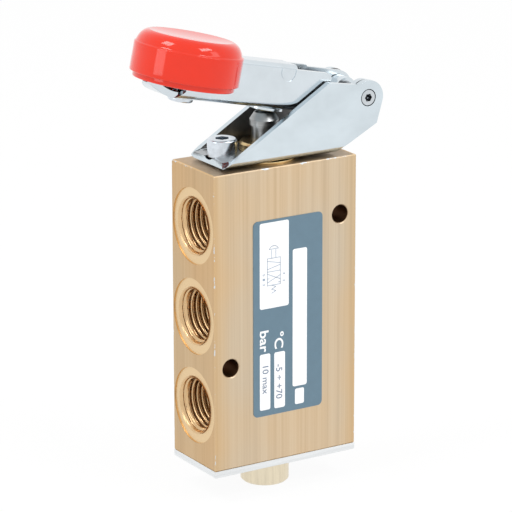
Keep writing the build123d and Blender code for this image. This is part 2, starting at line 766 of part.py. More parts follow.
with BuildPart() as knob_screw:
    screw_seat = lever_normal(knob_u, -lever_bottom)
    with BuildSketch(screw_seat):
        Circle(knob_screw_head_radius)
    extrude(amount=-knob_screw_head)
    fillet(knob_screw.edges().group_by(Axis.Z)[0], knob_screw_head_round)
    with BuildSketch(screw_seat):
        Circle(knob_screw_radius)
    extrude(amount=lever_bottom + carrier_top + insert_height - knob_screw_gap)
knob_screw.part.label = "knob_screw"
export_step(knob_screw.part, "parts/knob_screw.step")

# ---------------------------------------------------------------- name plate
with BuildPart() as name_plate:
    label_plane = Plane(
        origin=(plate_label_x, -body_width / 2, mid_z + plate_label_z),
        x_dir=(1, 0, 0),
        z_dir=(0, -1, 0),
    )
    with BuildSketch(label_plane):
        RectangleRounded(plate_label_width, plate_label_height, plate_label_round)
    extrude(amount=plate_label_thickness)
name_plate.part.label = "name_plate"
export_step(name_plate.part, "parts/name_plate.step")
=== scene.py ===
# %% [markdown]
# # Hand lever air valve
# A gold anodised bar with five threaded ports, a zinc plated lever on a folded bracket and a red knob.
# The CAD frame already holds every sub-part in its real place, in metres. This lesson gives each of them
# its finish and adds what the solids leave plain: the port threads, the rounded knob, the softened
# edges of the folded sheet and the print on the name plate.

# %% Load the frame
import json

import bmesh
import bpy
import numpy as np
from mathutils import Matrix, Vector


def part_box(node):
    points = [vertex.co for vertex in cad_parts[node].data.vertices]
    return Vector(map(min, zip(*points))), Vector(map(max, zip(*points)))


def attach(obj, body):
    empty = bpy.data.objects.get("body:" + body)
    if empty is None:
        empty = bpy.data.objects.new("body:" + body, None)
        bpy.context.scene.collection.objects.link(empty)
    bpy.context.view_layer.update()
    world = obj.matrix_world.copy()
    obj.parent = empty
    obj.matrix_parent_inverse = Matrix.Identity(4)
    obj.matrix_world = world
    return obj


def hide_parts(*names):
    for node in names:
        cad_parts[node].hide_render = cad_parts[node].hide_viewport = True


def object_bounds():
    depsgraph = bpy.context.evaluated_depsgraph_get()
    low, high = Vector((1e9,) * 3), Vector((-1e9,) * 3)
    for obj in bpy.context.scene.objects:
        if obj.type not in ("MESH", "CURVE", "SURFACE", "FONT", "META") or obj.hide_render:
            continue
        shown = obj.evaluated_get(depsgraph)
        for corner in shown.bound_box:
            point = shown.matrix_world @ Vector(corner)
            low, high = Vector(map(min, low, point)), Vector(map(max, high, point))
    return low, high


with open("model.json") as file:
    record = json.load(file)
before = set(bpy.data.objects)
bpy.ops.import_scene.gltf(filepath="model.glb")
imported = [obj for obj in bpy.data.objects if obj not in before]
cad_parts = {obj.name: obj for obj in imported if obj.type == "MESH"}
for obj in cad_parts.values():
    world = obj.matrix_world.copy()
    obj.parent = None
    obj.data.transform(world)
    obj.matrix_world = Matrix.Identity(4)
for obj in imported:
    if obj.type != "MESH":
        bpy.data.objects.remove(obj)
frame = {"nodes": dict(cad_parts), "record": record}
cad_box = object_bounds()
bpy.context.scene.view_settings.view_transform = "Standard"
nodes = frame["nodes"]
MM = 0.001
print("sub-parts:", len(nodes), "box in mm:", [round((b - a) / MM, 2) for a, b in zip(*cad_box)])

# %% [markdown]
# ## Camera
# A product shot is taken from far away with a long lens, so that upright edges stay nearly parallel.
# The camera's place is given as a heading, a height and a distance from the point it looks at, which
# is easier to read than a matrix. The lens is long enough for the valve to fill the square frame.

# %% Place the camera
camera_heading = np.radians(-31.7527)
camera_height = np.radians(16.4104)
camera_roll = np.radians(-0.1209)
camera_distance = 708.614 * MM
look_at = np.array([-2.291, 0.0, 6.462]) * MM

to_camera = np.array([
    np.sin(camera_heading) * np.cos(camera_height),
    -np.cos(camera_heading) * np.cos(camera_height),
    np.sin(camera_height),
])
level = np.cross([0.0, 0.0, 1.0], to_camera)
level /= np.linalg.norm(level)
upright = np.cross(to_camera, level)
place = np.eye(4)
place[:3, 0] = np.cos(camera_roll) * level + np.sin(camera_roll) * upright
place[:3, 1] = -np.sin(camera_roll) * level + np.cos(camera_roll) * upright
place[:3, 2] = to_camera
place[:3, 3] = look_at + to_camera * camera_distance

camera_data = bpy.data.cameras.new("camera")
camera_data.sensor_width = 36.0
camera_data.lens = 212.94
camera = bpy.data.objects.new("camera", camera_data)
bpy.context.scene.collection.objects.link(camera)
camera.matrix_world = Matrix(place.tolist())
bpy.context.scene.camera = camera
print("camera at mm:", np.round(place[:3, 3] / MM, 1))

# %% [markdown]
# ## Writing materials
# A material is a small graph of nodes. Two helpers keep the graphs short: one adds a node and sets its
# sockets, the other starts a material with its main shader. Every pattern reads Object coordinates,
# which are metres here, so a streak or a speck has its real size wherever the object goes.

# %% Helpers for materials


def add(tree, kind, settings=None, **sockets):
    """Adds a node, sets its own settings, then fills its inputs by name or by number (as _0, _1)."""
    node = tree.nodes.new(kind)
    for name, value in (settings or {}).items():
        setattr(node, name, value)
    for name, value in sockets.items():
        key = int(name[1:]) if name[0] == "_" else name.replace("_", " ")
        if isinstance(value, bpy.types.NodeSocket):
            tree.links.new(value, node.inputs[key])
        else:
            node.inputs[key].default_value = value
    return node


def start(name, color, metallic, roughness):
    """A new material with a Principled shader: returns the material, its tree, shader and coordinates."""
    material = bpy.data.materials.new(name)
    material.use_nodes = True
    tree = material.node_tree
    shader = tree.nodes["Principled BSDF"]
    shader.inputs["Base Color"].default_value = (*color, 1.0)
    shader.inputs["Metallic"].default_value = metallic
    shader.inputs["Roughness"].default_value = roughness
    where = tree.nodes.new("ShaderNodeTexCoord").outputs["Object"]
    return material, tree, shader, where


def math(tree, operation, a, b=0.0, c=0.0):
    """One step of arithmetic between sockets or numbers."""
    return add(tree, "ShaderNodeMath", {"operation": operation}, _0=a, _1=b, _2=c).outputs[0]


def noise(tree, where, stretch, detail=3.0, roughness=0.55):
    """Noise whose spots measure one part in stretch of a metre along each axis."""
    scaled = add(tree, "ShaderNodeMapping", Vector=where, Scale=stretch).outputs[0]
    spots = add(tree, "ShaderNodeTexNoise", Vector=scaled, Scale=1.0, Detail=detail, Roughness=roughness)
    return spots.outputs[0]


def steps(tree, value, stops):
    """Turns a value from 0 to 1 into a colour, through the listed (place, colour) stops."""
    ramp = add(tree, "ShaderNodeValToRGB", _0=value)
    elements = ramp.color_ramp.elements
    while len(elements) < len(stops):
        elements.new(0.5)
    for element, (at, color) in zip(elements, stops):
        element.position = at
        element.color = (*color, 1.0)
    return ramp.outputs[0]


def blend(tree, share, a, b, mode="MIX"):
    """Mixes colour a towards colour b by a share."""
    mix = add(tree, "ShaderNodeMix", {"data_type": "RGBA", "blend_type": mode}, _0=share)
    for slot, value in ((6, a), (7, b)):
        if isinstance(value, bpy.types.NodeSocket):
            tree.links.new(value, mix.inputs[slot])
        else:
            mix.inputs[slot].default_value = (*value, 1.0)
    return mix.outputs[2]


def bump(tree, shader, height, distance, strength=1.0):
    """Raises the surface's shading by a height of up to distance, in metres."""
    node = add(tree, "ShaderNodeBump", Height=height, Distance=distance, Strength=strength)
    tree.links.new(node.outputs[0], shader.inputs["Normal"])


# %% [markdown]
# ## Anodised aluminium
# The body is a drawn bar, brushed along its length and anodised gold. The brushing is noise drawn out
# along Z, in a fine and a broad layer. The ports' faces are turned after that, so they are paler and
# carry rings. The coat chips along the top edges and shows bare metal there, where the distance to the
# nearest edge is small and a noise is high.

# %% Make the anodised coat
_, body_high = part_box("valve_body")
half_depth, half_width = body_high.x, body_high.y
ports = [m for m in frame["record"]["mounts"] if m["kind"] == "threaded_hole"]
mounting_x, mounting_z = 15.0 * MM, 16.35 * MM
mounting_reach = 2.2 * MM
spotface_from, spotface_to = 0.12 * MM, 0.5 * MM
rim_reach = 4.5 * MM
chip_reach, chip_start = 2.5 * MM, 0.62 * MM


def make_anodised():
    """The gold coat: brushed faces, turned port faces and chipped edges, with painted shade on the top face
    and deep brown painted shade in the mounting bores.
    """
    material, tree, shader, where = start("anodised_gold", (0.66, 0.47, 0.26), 1.0, 0.42)
    axes = add(tree, "ShaderNodeSeparateXYZ", Vector=where).outputs
    fine = noise(tree, where, (2600.0, 2600.0, 14.0), 2.0)
    broad = noise(tree, where, (420.0, 420.0, 6.0), 3.0)
    cloud = noise(tree, where, (45.0, 45.0, 30.0), 2.0)
    streak = math(tree, "ADD", math(tree, "MULTIPLY", fine, 0.45), math(tree, "MULTIPLY", broad, 0.55))
    brushed = steps(tree, streak, (
        (0.30, (0.540, 0.405, 0.268)),
        (0.50, (0.672, 0.525, 0.362)),
        (0.70, (0.760, 0.635, 0.475)),
    ))
    warm = steps(tree, cloud, ((0.35, (0.715, 0.515, 0.300)), (0.65, (0.615, 0.550, 0.440))))
    coat = blend(tree, 0.42, brushed, warm)
    facing = add(tree, "ShaderNodeTexCoord").outputs["Normal"]
    turn = add(tree, "ShaderNodeSeparateXYZ", Vector=facing).outputs
    port_side = math(tree, "GREATER_THAN", math(tree, "ABSOLUTE", turn[0]), 0.8)
    coat = blend(tree, port_side, coat, blend(tree, 1.0, coat, (0.93, 0.82, 0.66), "MULTIPLY"))
    # Painted shade: the upward top face is made darker, standing in for the shade and dim reflection under
    # the bracket.
    painted_top_shade = math(tree, "GREATER_THAN", turn[2], 0.8)
    coat = blend(tree, painted_top_shade, coat, blend(tree, 1.0, coat, (0.78, 0.76, 0.76), "MULTIPLY"))
    across = math(tree, "ABSOLUTE", axes[0])
    turned = math(tree, "LESS_THAN", across, half_depth - spotface_from)
    deep = math(tree, "LESS_THAN", across, half_depth - spotface_to)
    inside = math(tree, "LESS_THAN", math(tree, "ABSOLUTE", axes[1]), half_width - spotface_to)
    ring_face = math(tree, "MULTIPLY", math(tree, "SUBTRACT", turned, deep), inside)
    coat = blend(tree, ring_face, coat, (0.80, 0.600, 0.355))
    to_rim = math(tree, "DIVIDE", math(tree, "SUBTRACT", half_depth, across), rim_reach)
    near_rim = math(tree, "MAXIMUM", math(tree, "SUBTRACT", 1.0, to_rim), 0.0)
    rim_share = math(tree, "MULTIPLY", near_rim, math(tree, "SUBTRACT", 1.0, port_side))
    coat = blend(tree, rim_share, coat, blend(tree, 1.0, coat, (1.0, 0.90, 0.74), "MULTIPLY"))
    # Painted shade: inside the mounting bores the coat is painted a deep brown, standing in for the shade
    # that fills them.
    along_side = math(tree, "MULTIPLY", math(tree, "SIGN", axes[0]), axes[2])
    off_x = math(tree, "SUBTRACT", across, mounting_x)
    off_z = math(tree, "SUBTRACT", along_side, mounting_z)
    off = math(tree, "MULTIPLY_ADD", off_x, off_x, math(tree, "MULTIPLY", off_z, off_z))
    painted_hole_shade = math(tree, "LESS_THAN", math(tree, "SQRT", off), mounting_reach)
    coat = blend(tree, painted_hole_shade, coat, (0.30, 0.17, 0.09))
    to_side = math(tree, "SUBTRACT", half_depth, across)
    to_front = math(tree, "SUBTRACT", half_width, math(tree, "ABSOLUTE", axes[1]))
    to_top = math(tree, "SUBTRACT", body_high.z, axes[2])
    nearest = math(tree, "MINIMUM", to_side, to_front)
    next_one = math(tree, "MAXIMUM", to_side, to_front)
    edge = math(tree, "MAXIMUM", nearest, math(tree, "MINIMUM", next_one, to_top))
    rough = noise(tree, where, (900.0, 900.0, 700.0), 4.0, 0.7)
    patch = noise(tree, where, (210.0, 210.0, 90.0), 2.0)
    reach = math(tree, "MULTIPLY", math(tree, "MULTIPLY", rough, patch), chip_reach)
    chip = math(tree, "LESS_THAN", edge, math(tree, "SUBTRACT", reach, chip_start))
    coat = blend(tree, chip, coat, (0.72, 0.76, 0.80))
    tree.links.new(coat, shader.inputs["Base Color"])
    height = math(tree, "MULTIPLY_ADD", chip, -1.2, streak)
    bump(tree, shader, height, 0.02 * MM, 0.5)
    return material


anodised = make_anodised()
print("ports:", [p["name"] for p in ports])

# %% [markdown]
# ## Zinc, steel, brass and aluminium
# These metals differ in colour and in how they were worked. Bright zinc is bluish and nearly a mirror
# with a faint cloud in it. Turned brass and the ground plunger carry fine rings about their axis, which
# a wave on the distance from that axis gives. The end plate is plain satin aluminium.

# %% Make the plain metals
pivot = np.array([23.3, 0.0, 42.95]) * MM
bracket_floor_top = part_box("bracket")[0].z + 1.7 * MM


def make_metal(name, color, roughness, cloud=0.06, grain=(300.0, 300.0, 300.0), dents=0.004):
    """A bare metal whose tone and gloss drift a little over the surface."""
    material, tree, shader, where = start(name, color, 1.0, roughness)
    drift = noise(tree, where, grain, 3.0)
    low = tuple(c * (1.0 - cloud) for c in color)
    high = tuple(min(1.0, c * (1.0 + cloud)) for c in color)
    tone = steps(tree, drift, ((0.35, low), (0.65, high)))
    tree.links.new(tone, shader.inputs["Base Color"])
    gloss = math(tree, "MULTIPLY_ADD", drift, roughness * 0.5, roughness * 0.75)
    tree.links.new(gloss, shader.inputs["Roughness"])
    bump(tree, shader, drift, dents * MM, 0.6)
    return material


def make_sheet_zinc():
    """Bright zinc on folded sheet, rougher on the floor and on faces that look inward along Y; both are
    also painted darker as shade.
    """
    material = make_metal("sheet_zinc", (0.66, 0.735, 0.78), 0.17, 0.05, (90.0, 90.0, 160.0))
    tree = material.node_tree
    shader = tree.nodes["Principled BSDF"]
    where = add(tree, "ShaderNodeTexCoord").outputs["Object"]
    facing = add(tree, "ShaderNodeTexCoord").outputs["Normal"]
    side = add(tree, "ShaderNodeSeparateXYZ", Vector=where).outputs[1]
    turned = add(tree, "ShaderNodeSeparateXYZ", Vector=facing).outputs[1]
    side_sign = math(tree, "SIGN", side)
    inward = math(tree, "MULTIPLY", math(tree, "MULTIPLY", side_sign, turned), -1.0)
    inner = math(tree, "GREATER_THAN", inward, 0.55)
    # Painted shade: faces that look inward along Y get a mottled near-black grey, standing in for the shade
    # inside the folded bracket.
    inner_shade_mottle = noise(tree, where, (260.0, 260.0, 180.0), 4.0)
    shade = steps(tree, inner_shade_mottle, ((0.35, (0.17, 0.165, 0.16)), (0.65, (0.30, 0.30, 0.30))))
    bright = shader.inputs["Base Color"].links[0].from_socket
    # Painted shade: flat upward faces on the bracket's floor are painted a plain darker grey, standing in
    # for their dimmer reflection.
    rise = add(tree, "ShaderNodeSeparateXYZ", Vector=where).outputs[2]
    upward = add(tree, "ShaderNodeSeparateXYZ", Vector=facing).outputs[2]
    lies_flat = math(tree, "GREATER_THAN", upward, 0.9)
    on_floor = math(tree, "MULTIPLY", lies_flat, math(tree, "LESS_THAN", rise, bracket_floor_top))
    bright = blend(tree, inner, bright, shade)
    tree.links.new(blend(tree, on_floor, bright, (0.46, 0.48, 0.49)), shader.inputs["Base Color"])
    duller = math(tree, "MAXIMUM", inner, on_floor)
    gloss = shader.inputs["Roughness"].links[0].from_socket
    tree.links.new(math(tree, "MULTIPLY_ADD", duller, 0.22, gloss), shader.inputs["Roughness"])
    return material


sheet_zinc = make_sheet_zinc()
zinc = make_metal("bright_zinc", (0.66, 0.72, 0.76), 0.17, 0.05, (120.0, 120.0, 120.0))
screw_zinc = make_metal("zinc_screw", (0.66, 0.71, 0.76), 0.20, 0.10, (500.0, 500.0, 500.0))
dark_steel = make_metal("dark_spring_steel", (0.20, 0.20, 0.21), 0.35)
ground_steel = make_metal("ground_steel", (0.37, 0.38, 0.38), 0.30, 0.16, (60.0, 60.0, 1500.0))
brass = make_metal("turned_brass", (0.66, 0.50, 0.26), 0.26, 0.08, (80.0, 80.0, 2400.0))
pale_brass = make_metal("pale_turned_brass", (0.78, 0.69, 0.52), 0.30, 0.06, (1500.0, 1500.0, 120.0))
satin_aluminium = make_metal("satin_aluminium", (0.82, 0.84, 0.85), 0.38, 0.04, (60.0, 60.0, 1800.0))
bore_gold = make_metal("bore_gold", (0.70, 0.48, 0.26), 0.24, 0.05, (300.0, 300.0, 300.0), 0.0005)


socket_radius, socket_lobe, shade_ring_radius = 0.86 * MM, 0.13 * MM, 1.84 * MM


def make_pin_steel():
    """The pin's face: a bright disc with painted shade, near black at the rim where it meets its hole and
    in its lobed socket.
    """
    material = make_metal("pin_steel", (0.62, 0.66, 0.69), 0.22, 0.06, (300.0, 300.0, 300.0))
    tree = material.node_tree
    shader = tree.nodes["Principled BSDF"]
    where = add(tree, "ShaderNodeTexCoord").outputs["Object"]
    centred = add(tree, "ShaderNodeMapping", Vector=where, Location=(-pivot[0], 0.0, -pivot[2])).outputs[0]
    axes = add(tree, "ShaderNodeSeparateXYZ", Vector=centred).outputs
    square = math(tree, "MULTIPLY_ADD", axes[0], axes[0], math(tree, "MULTIPLY", axes[2], axes[2]))
    radius = math(tree, "SQRT", square)
    angle = math(tree, "ARCTAN2", axes[2], axes[0])
    lobes = math(tree, "COSINE", math(tree, "MULTIPLY", angle, 6.0))
    socket_edge = math(tree, "MULTIPLY_ADD", lobes, socket_lobe, socket_radius)
    # Painted shade: the lobed socket and the ring where the pin meets its hole are painted near black.
    socket = math(tree, "LESS_THAN", radius, socket_edge)
    rim = math(tree, "GREATER_THAN", radius, shade_ring_radius)
    painted_pin_shade = math(tree, "MAXIMUM", socket, rim)
    bright = shader.inputs["Base Color"].links[0].from_socket
    tree.links.new(blend(tree, painted_pin_shade, bright, (0.035, 0.035, 0.04)), shader.inputs["Base Color"])
    return material


pin_steel = make_pin_steel()

# %% [markdown]
# ## Plastics and rubber
# The knob is glossy injection-moulded plastic: one colour, a little haze in its gloss and the faintest
# ripple. Rubber and the hidden cages are duller, with a fine grain.

# %% Make the plastics


def make_plastic(name, color, roughness, ripple, grain):
    """A dyed plastic with a hazy gloss and a small ripple."""
    material, tree, shader, where = start(name, color, 0.0, roughness)
    haze = noise(tree, where, (grain, grain, grain), 3.0)
    shade = steps(tree, haze, ((0.3, tuple(c * 0.94 for c in color)), (0.7, color)))
    tree.links.new(shade, shader.inputs["Base Color"])
    gloss = math(tree, "MULTIPLY_ADD", haze, roughness * 0.5, roughness * 0.75)
    tree.links.new(gloss, shader.inputs["Roughness"])
    bump(tree, shader, haze, ripple * MM, 0.5)
    return material


knob_red = make_plastic("knob_red", (0.74, 0.022, 0.002), 0.10, 0.0012, 160.0)
gloss_coat = {"IOR": 1.36, "Coat Weight": 0.5, "Coat Roughness": 0.04, "Coat IOR": 1.45}
for socket, value in gloss_coat.items():
    knob_red.node_tree.nodes["Principled BSDF"].inputs[socket].default_value = value
seal_rubber = make_plastic("seal_rubber", (0.03, 0.03, 0.03), 0.6, 0.01, 1500.0)
cage_plastic = make_plastic("cage_plastic", (0.62, 0.58, 0.48), 0.5, 0.01, 900.0)
plate_grey = make_plastic("plate_grey", (0.122, 0.205, 0.268), 0.32, 0.004, 500.0)
print_white = make_plastic("print_white", (0.95, 0.96, 0.97), 0.40, 0.004, 700.0)
print_slate = make_plastic("print_slate", (0.145, 0.200, 0.300), 0.45, 0.004, 700.0)
print_pale = make_plastic("print_pale", (0.330, 0.410, 0.520), 0.45, 0.004, 700.0)

# %% Dress the CAD nodes
finishes = {
    "valve_body": anodised,
    "end_plate": satin_aluminium,
    "end_plate_screws": screw_zinc,
    "spring_cap": pale_brass,
    "end_spacer": cage_plastic,
    "spool": satin_aluminium,
    "spool_seals": seal_rubber,
    "spool_cages": cage_plastic,
    "spring_seat": cage_plastic,
    "return_spring": dark_steel,
    "guide_bush": brass,
    "bush_seal": seal_rubber,
    "stem_seal": seal_rubber,
    "plunger": ground_steel,
    "bracket": sheet_zinc,
    "bracket_screws": screw_zinc,
    "pivot_pin": pin_steel,
    "pin_retaining_ring": dark_steel,
    "pivot_washers": zinc,
    "pivot_hub": zinc,
    "lever_arm": zinc,
    "knob_carrier": zinc,
    "contact_pad": zinc,
    "knob": knob_red,
    "knob_insert": brass,
    "knob_screw": screw_zinc,
    "name_plate": plate_grey,
}
for name, material in finishes.items():
    mesh = nodes[name].data
    mesh.materials.clear()
    mesh.materials.append(material)
print("finished nodes:", len(finishes), "of", len(nodes))

# %% [markdown]
# ## New pieces from grids of points
# A new surface is a function of two parameters, worked out for a whole grid at once. The helper turns
# such a grid into a mesh, closing it round one or both ways, so that a lathe shape or a thread has no
# seam. Rows run along the first parameter and columns along the second.

# %% Helpers for new pieces


def mesh_object(name, points, faces, material, body, smooth=40.0):
    """A mesh object in its place in the frame, riding on a body, shaded smooth below an angle."""
    mesh = bpy.data.meshes.new(name)
    mesh.from_pydata(points.reshape(-1, 3).tolist(), [], faces.tolist())
    mesh.materials.append(material)
    mesh.shade_smooth()
    mesh.set_sharp_from_angle(angle=np.radians(smooth))
    piece = bpy.data.objects.new(name, mesh)
    bpy.context.scene.collection.objects.link(piece)
    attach(piece, body)
    return piece


def grid_faces(rows, columns, close_rows=False, close_columns=False):
    """Four-cornered faces between neighbours on a grid, joined end to end where it closes."""
    i = np.arange(rows if close_rows else rows - 1)
    j = np.arange(columns if close_columns else columns - 1)
    i, j = np.meshgrid(i, j, indexing="ij")
    ahead, beside = (i + 1) % rows, (j + 1) % columns
    corners = [i * columns + j, ahead * columns + j, ahead * columns + beside, i * columns + beside]
    return np.stack(corners, -1).reshape(-1, 4)


# %% [markdown]
# ## Port threads
# A pipe thread is a ridge that winds round the bore. Its height above the bore's wall is a rounded wave
# of the depth and the turn together: height = ridge times wave(depth / pitch + turn). A countersink cuts
# the first turns away on a cone, so the radius is the larger of the thread's and the cone's.
# The outer skin of the same tube lies just inside the bore, so the piece is closed.

# %% Cut the threads
thread_pitch = 1.337 * MM
thread_ridge = 0.84 * MM
thread_length = 9.5 * MM
ridge_power = 1.15
mouth_chamfer = 0.35 * MM
lead_slope = 0.42
flare = 0.32 * MM
skin_gap, wall_gap = 0.01 * MM, 0.02 * MM
rows_deep, columns_round = 180, 96


def thread_piece(port):
    """A threaded tube that lines one port, from its mouth to its floor."""
    bore = port["dims"]["r_mm"] * MM - skin_gap
    mouth = np.array(port["pos_m"])
    out = np.array(port["axis"], float)
    mouth = mouth + out * (half_depth - mouth_chamfer - abs(mouth[0]))
    depth = np.linspace(-flare, thread_length, rows_deep)[:, None]
    turn = np.linspace(0.0, 1.0, columns_round, endpoint=False)[None, :]
    wave = 0.5 + 0.5 * np.cos(2 * np.pi * (depth / thread_pitch - turn * out[0]))
    crest_side = bore - wall_gap - thread_ridge * wave**ridge_power
    cone = bore - wall_gap - lead_slope * depth
    flared = bore - wall_gap - depth
    radius = np.where(depth < 0, flared, np.maximum(crest_side, cone))
    skin_depth = np.array([[thread_length], [0.0], [-flare]])
    skin = bore + np.maximum(-skin_depth, 0.0) + 0 * turn
    radius = np.vstack([radius, skin])
    depth = np.vstack([depth, skin_depth])
    angle = 2 * np.pi * turn
    points = np.stack([
        mouth[0] - out[0] * depth + 0 * angle,
        mouth[1] + radius * np.cos(angle),
        mouth[2] + radius * np.sin(angle),
    ], -1)
    faces = grid_faces(len(depth), turn.size, True, True)
    if out[0] < 0:
        faces = faces[:, ::-1]
    return mesh_object(port["name"] + "_thread", points, faces, bore_gold, "valve")


threads = [thread_piece(port) for port in ports]
print("threads:", len(threads), "faces in each:", len(threads[0].data.polygons))

# %% [markdown]
# ## Softened sheet metal
# Folded sheet is cut with a punch, which rolls its edges a little, and zinc rounds them further. A bright
# line runs along every such edge. Each folded piece is copied from its solid: the copy's corners are
# merged, its flat facets joined, and a narrow bevel is laid on the sharp edges only. The bracket's blank
# is cut square across the front before it is folded, so its front edge is stood upright in the copy.
# The lever's copy is a little wider with a round end to its tongue, the washers beside it are thinner to
# match, and the bush's thin flange is drawn in.

# %% Soften the bracket, the lever and the knob's carrier
lean = np.radians(12.2)
along = np.array([-np.cos(lean), 0.0, np.sin(lean)])
across = np.array([0.0, 1.0, 0.0])
up = np.array([np.sin(lean), 0.0, np.cos(lean)])
bracket_low, bracket_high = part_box("bracket")
sheet = 1.5 * MM
fold = 2.3 * MM
cut_front, cut_corner = np.array([-15.0, 0.0]) * MM, np.array([12.5, 17.1]) * MM
knee = np.array([-15.2, 0.5]) * MM
near, nearer = 0.05 * MM, 0.01 * MM


def upright_front(points):
    """Moves the slanted front cut: x = front below the knee, then a straight line up to the corner."""
    x, y, rise = points[:, 0], points[:, 1], points[:, 2] - bracket_low.z
    old_line = cut_front[0] + rise * (cut_corner[0] - cut_front[0]) / cut_corner[1]
    slope = (cut_corner[0] - knee[0]) / (cut_corner[1] - knee[1])
    new_line = np.where(rise < knee[1], knee[0], knee[0] + (rise - knee[1]) * slope)
    on_floor = (np.abs(y) < bracket_high.y - fold + near) & (rise < sheet + near)
    new_line = np.where(on_floor, knee[0], new_line)
    on_cut = (np.abs(x - old_line) < near) & (rise < cut_corner[1] + nearer)
    points[on_cut, 0] = new_line[on_cut]
    return points


lever_wide = 6.4 / 6.0
tongue_half = 4.4 * MM
tongue_turn = 51.1 * MM
washer_inner = 6.45 * MM
flange_from, flange_scale = 8.0 * MM, 7.5 / 9.0


def wider_lever(points):
    """Widens the channel, then rounds its tongue's end: |y| at most sqrt(half^2 - (u - turn)^2)."""
    u = (points - pivot) @ along
    past = np.clip(u - tongue_turn, 0.0, tongue_half * 0.985)
    half = np.sqrt(tongue_half**2 - past**2)
    on_tongue = u > tongue_turn
    y = points[:, 1]
    points[:, 1] = np.where(on_tongue, np.clip(y, -half, half), y * lever_wide)
    return points


def thinner_washers(points):
    """Keeps each washer's outer face and brings its inner face out to the wider lever."""
    face = np.abs(points[:, 1]).max()
    y = points[:, 1]
    share = (np.abs(y) - np.abs(y).min()) / (face - np.abs(y).min())
    points[:, 1] = np.sign(y) * (washer_inner + share * (face - washer_inner))
    return points


def smaller_flange(points):
    """Draws the bush's thin flange in: what lies beyond radius 8 is scaled down to radius 7.5."""
    radius = np.hypot(points[:, 0], points[:, 1])
    scale = np.where(radius > flange_from, flange_scale, 1.0)
    points[:, :2] *= scale[:, None]
    return points


def softened(node, body, width, reshape=None):
    """A merged copy of a solid with a narrow bevel along its sharp edges."""
    shell = bmesh.new()
    shell.from_mesh(nodes[node].data)
    bmesh.ops.remove_doubles(shell, verts=shell.verts, dist=0.002 * MM)
    bmesh.ops.dissolve_limit(shell, angle_limit=np.radians(0.6), verts=shell.verts, edges=shell.edges)
    mesh = bpy.data.meshes.new(node + "_softened")
    shell.to_mesh(mesh)
    shell.free()
    if reshape:
        flat = np.empty(len(mesh.vertices) * 3, np.float32)
        mesh.vertices.foreach_get("co", flat)
        mesh.vertices.foreach_set("co", reshape(flat.reshape(-1, 3)).ravel())
    mesh.materials.clear()
    mesh.materials.append(finishes[node])
    mesh.shade_smooth()
    piece = bpy.data.objects.new(node + "_softened", mesh)
    bpy.context.scene.collection.objects.link(piece)
    rounding = piece.modifiers.new("rounding", "BEVEL")
    rounding.width = width
    rounding.segments = 2
    rounding.limit_method = "ANGLE"
    rounding.angle_limit = np.radians(40.0)
    flatter = piece.modifiers.new("flatter", "WEIGHTED_NORMAL")
    flatter.keep_sharp = True
    flatter.weight = 90
    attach(piece, body)
    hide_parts(node)
    return piece


soft_pieces = [
    softened("bracket", "valve", 0.16 * MM, upright_front),
    softened("lever_arm", "lever", 0.16 * MM, wider_lever),
    softened("guide_bush", "valve", 0.05 * MM, smaller_flange),
    softened("pivot_washers", "valve", 0.05 * MM, thinner_washers),
    softened("knob_carrier", "lever", 0.12 * MM),
]
print("softened:", [(o.name, len(o.data.polygons)) for o in soft_pieces])

# %% [markdown]
# ## Knob
# The knob is a moulded cap with a plain band, a lip under it, a rounded shoulder and a shallow dish on
# top. Its profile is turned round the knob's own axis, which leans with the lever: a point at radius r
# and height v sits at centre + r (cos a, sin a) + v up. Where the lever enters, the skirt stops higher:
# the height is held above the slot's top there, and the columns beside it stay parallel.

# %% Turn the knob
knob_foot = pivot + 45.5 * MM * along - 1.05 * MM * up
knob_radius = 12.62
lip_radius = 11.75
cavity_radius = 10.52
rim = np.array([9.75, 9.82])
dish_depth = 0.5
slot_half = 6.5
slot_top = 6.65


def arc(centre, half_axes, start_angle, end_angle, count):
    """Points on an ellipse's arc: centre + (a cos t, b sin t)."""
    t = np.radians(np.linspace(start_angle, end_angle, count))
    return np.stack([centre[0] + half_axes[0] * np.cos(t), centre[1] + half_axes[1] * np.sin(t)], -1)


def knob_profile():
    """The closed profile from the pocket's roof, round the skirt and over the top: radius, height."""
    inside = np.array([
        (0.0, 8.75), (1.5, 8.75), (3.02, 8.75), (3.02, 6.15), (4.1, 6.15), (4.1, 7.6),
        (9.9, 7.6), (cavity_radius, 7.1), (cavity_radius, 6.0), (cavity_radius, 3.0),
        (cavity_radius, -1.15), (cavity_radius + 0.15, -1.3),
    ])
    lip = arc((lip_radius - 0.3, -1.0), (0.3, 0.3), -90, 0, 5)
    step = np.array([(lip_radius, -0.12), (lip_radius + 0.12, 0.0)])
    foot = arc((knob_radius - 0.22, 0.22), (0.22, 0.22), -90, 0, 5)
    band = np.array([(knob_radius, 2.0), (knob_radius - 0.02, 4.5)])
    ledge = arc((knob_radius - 0.32, 6.55), (0.3, 0.3), 0, 75, 5)
    t = np.linspace(0.0, 1.0, 18)[:, None]
    shoulder = (1 - t) ** 2 * [12.22, 7.02] + 2 * t * (1 - t) * [11.55, 9.35] + t**2 * rim
    radius = np.linspace(9.4, 0.0, 14)
    dish = np.stack([radius, rim[1] - dish_depth * (1 - (radius / rim[0]) ** 2)], -1)
    return np.vstack([inside, lip, step, foot, band, ledge, shoulder, dish])


